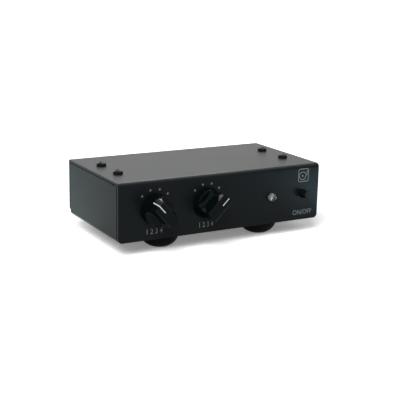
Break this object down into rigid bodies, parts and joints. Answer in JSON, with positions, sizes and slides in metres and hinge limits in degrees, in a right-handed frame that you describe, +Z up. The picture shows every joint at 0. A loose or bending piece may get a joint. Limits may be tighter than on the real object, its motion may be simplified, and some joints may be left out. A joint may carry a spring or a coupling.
{
  "type": "phono preamp",
  "caption": "Low black sheet-metal box with pointer knobs, indicator lamp and push button in front, phono sockets, ground post and power inlet behind, on dome feet.",
  "frame": {"origin": "on the floor, under the middle of the whole object", "axes": "+X to the right along the front, +Y from the front to the rear, +Z up"},
  "size_m": [0.14, 0.1033, 0.0471],
  "materials": {
    "case_paint": "fine satin powder coat",
    "zinc_plate": "zinc plated",
    "black_steel": "blackened",
    "foot_rubber": "moulded",
    "board_green": "solder mask",
    "knob_black": "moulded, polished",
    "shaft_metal": "turned",
    "switch_body": "moulded",
    "nickel_plate": "nickel plated",
    "button_black": "moulded",
    "plunger_white": "moulded",
    "lamp_clear": "clear epoxy",
    "tinned_lead": "tinned",
    "gold_plate": "gold plated",
    "core_white": "moulded",
    "core_red": "moulded",
    "housing_black": "moulded",
    "chip_black": "moulded",
    "film_red": "dipped",
    "can_blue": "sleeved can",
    "can_black": "sleeved can",
    "resistor_blue": "lacquered"
  },
  "bodies": {
    "chassis": {"base": "case_paint", "cover": "case_paint", "lid_bracket_left": "zinc_plate", "lid_bracket_right": "zinc_plate", "bracket_nuts": "zinc_plate", "cover_screws": "black_steel", "foot_front_left": "foot_rubber", "foot_front_right": "foot_rubber", "foot_rear_left": "foot_rubber", "foot_rear_right": "foot_rubber", "main_board": "board_green", "board_standoffs": "zinc_plate", "board_screws": "zinc_plate", "load_switch": "switch_body", "load_washer": "nickel_plate", "load_nut": "nickel_plate", "gain_switch": "switch_body", "gain_washer": "nickel_plate", "gain_nut": "nickel_plate", "power_switch": "housing_black", "lamp": "lamp_clear", "lamp_holder": "button_black", "lamp_leads": "tinned_lead", "input_left_sleeve": "gold_plate", "input_right_sleeve": "gold_plate", "output_left_sleeve": "gold_plate", "output_right_sleeve": "gold_plate", "input_left_core": "core_white", "input_right_core": "core_red", "output_left_core": "core_white", "output_right_core": "core_red", "jack_contacts": "gold_plate", "jack_housings": "housing_black", "ground_post": "gold_plate", "ground_lug": "tinned_lead", "ground_lock_nut": "gold_plate", "ground_washer": "gold_plate", "power_inlet": "housing_black", "inlet_pin": "nickel_plate", "amplifier_left": "chip_black", "amplifier_right": "chip_black", "amplifier_sockets": "chip_black", "film_capacitors": "film_red", "coupling_capacitors": "can_blue", "filter_capacitors": "can_black", "resistors": "resistor_blue", "regulators": "chip_black"},
    "load_control": {"load_knob": "knob_black", "load_set_screw": "black_steel", "load_shaft": "shaft_metal"},
    "gain_control": {"gain_knob": "knob_black", "gain_set_screw": "black_steel", "gain_shaft": "shaft_metal"},
    "power_button": {"power_cap": "button_black", "power_plunger": "plunger_white"},
    "ground_nut": {"ground_thumb_nut": "gold_plate"}
  },
  "joints": [
    {"name": "load_knob_turn", "type": "hinge", "parent": "chassis", "child": "load_control", "pos_m": [-0.0466, -0.03535, 0.0278], "axis": [0, 1, 0], "range_deg": [0, 90]},
    {"name": "gain_knob_turn", "type": "hinge", "parent": "chassis", "child": "gain_control", "pos_m": [-0.0119, -0.03535, 0.0278], "axis": [0, 1, 0], "range_deg": [-90, 0]},
    {"name": "power_button_press", "type": "slide", "parent": "chassis", "child": "power_button", "axis": [0, 1, 0], "range_m": [0, 0.0025], "stiffness_N_per_m": 300, "springref_m": -0.001},
    {"name": "ground_nut_turn", "type": "hinge", "parent": "chassis", "child": "ground_nut", "pos_m": [-0.01117, 0.03865, 0.0283], "axis": [0, 1, 0], "range_deg": [0, 360]}
  ]
}
